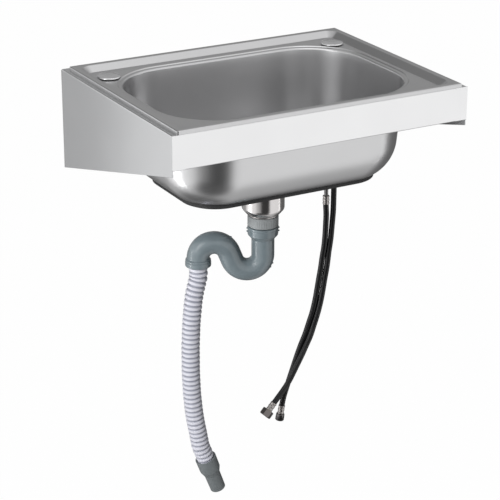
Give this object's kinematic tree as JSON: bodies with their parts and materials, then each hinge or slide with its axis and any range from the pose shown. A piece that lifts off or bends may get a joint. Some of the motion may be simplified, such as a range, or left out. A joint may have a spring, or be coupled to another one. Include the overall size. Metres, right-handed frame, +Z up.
{
  "type": "utility sink",
  "caption": "Wall-hung utility sink: pressed steel basin in a folded bracket, with basket strainer, swivel trap, ribbed waste hose and flexible supply hoses",
  "frame": {"origin": "centre of the wall bolt pattern, on the face of the wall", "axes": "+X along the wall to the right as seen from the front, +Y into the wall, +Z up"},
  "size_m": [0.57, 0.4355, 0.824],
  "materials": {
    "basin_steel": "satin pressed stainless sheet",
    "bracket_steel": "satin folded stainless sheet",
    "rivet_steel": "plain",
    "sound_pad": "matt bitumen-like pad",
    "cap_chrome": "polished",
    "strainer_chrome": "polished",
    "fitting_brass": "plain turned",
    "tail_chrome": "polished",
    "ferrule_steel": "bright crimped",
    "swivel_nut_chrome": "polished, slightly tarnished",
    "seal_rubber": "black seal",
    "hose_sheath": "black sheath over braid",
    "backnut_plastic": "grey moulded",
    "nut_plastic": "grey moulded",
    "trap_plastic": "slate grey moulded",
    "waste_hose": "pale lilac grey",
    "cuff_plastic": "soft dark grey"
  },
  "bodies": {
    "sink": {"sink_basin": "basin_steel", "sound_pad": "sound_pad", "left_side_panel": "bracket_steel", "right_side_panel": "bracket_steel", "front_apron": "bracket_steel", "back_rail": "bracket_steel", "rail_rivets": "rivet_steel", "supply_manifold": "fitting_brass", "long_tail_pipe": "tail_chrome", "short_tail_pipe": "tail_chrome", "strainer_flange": "strainer_chrome", "flange_seal": "seal_rubber", "cup_gasket": "seal_rubber", "strainer_cup": "strainer_chrome", "strainer_screw": "strainer_chrome", "left_tap_cap": "cap_chrome", "left_cap_gasket": "seal_rubber", "left_deck_washer": "seal_rubber", "left_backnut": "backnut_plastic", "right_tap_cap": "cap_chrome", "right_cap_gasket": "seal_rubber", "right_deck_washer": "seal_rubber", "right_backnut": "backnut_plastic", "small_supply_hose": "hose_sheath", "small_top_ferrule": "ferrule_steel", "small_end_ferrule": "ferrule_steel", "small_insert": "fitting_brass", "small_nut_washer": "seal_rubber", "large_supply_hose": "hose_sheath", "large_top_ferrule": "ferrule_steel", "large_end_ferrule": "ferrule_steel", "large_insert": "fitting_brass", "large_nut_washer": "seal_rubber"},
    "basket": {"strainer_basket": "strainer_chrome", "basket_knob": "strainer_chrome", "basket_stopper": "seal_rubber"},
    "union_nut": {"union_nut": "nut_plastic"},
    "trap": {"trap": "trap_plastic", "trap_washer": "seal_rubber", "outlet_seal": "seal_rubber", "drain_hose": "waste_hose", "hose_cuff": "cuff_plastic"},
    "small_swivel_nut": {"small_swivel_nut": "swivel_nut_chrome"},
    "large_swivel_nut": {"large_swivel_nut": "swivel_nut_chrome"}
  },
  "joints": [
    {"name": "basket_lift", "type": "slide", "parent": "sink", "child": "basket", "axis": [0, 0, 1], "range_m": [0, 0.2]},
    {"name": "union_nut_turn", "type": "hinge", "parent": "sink", "child": "union_nut", "pos_m": [0, -0.2265, -0.1725], "axis": [0, 0, 1], "continuous": true},
    {"name": "trap_swivel", "type": "hinge", "parent": "sink", "child": "trap", "pos_m": [0, -0.2265, -0.1775], "axis": [0, 0, 1], "range_deg": [-65, 90]},
    {"name": "small_nut_turn", "type": "hinge", "parent": "sink", "child": "small_swivel_nut", "pos_m": [0.12779, -0.074, -0.66439], "axis": [-0.1729, 0, -0.9849], "continuous": true},
    {"name": "large_nut_turn", "type": "hinge", "parent": "sink", "child": "large_swivel_nut", "pos_m": [0.09029, -0.087, -0.64168], "axis": [-0.6727, 0, -0.7399], "continuous": true}
  ]
}
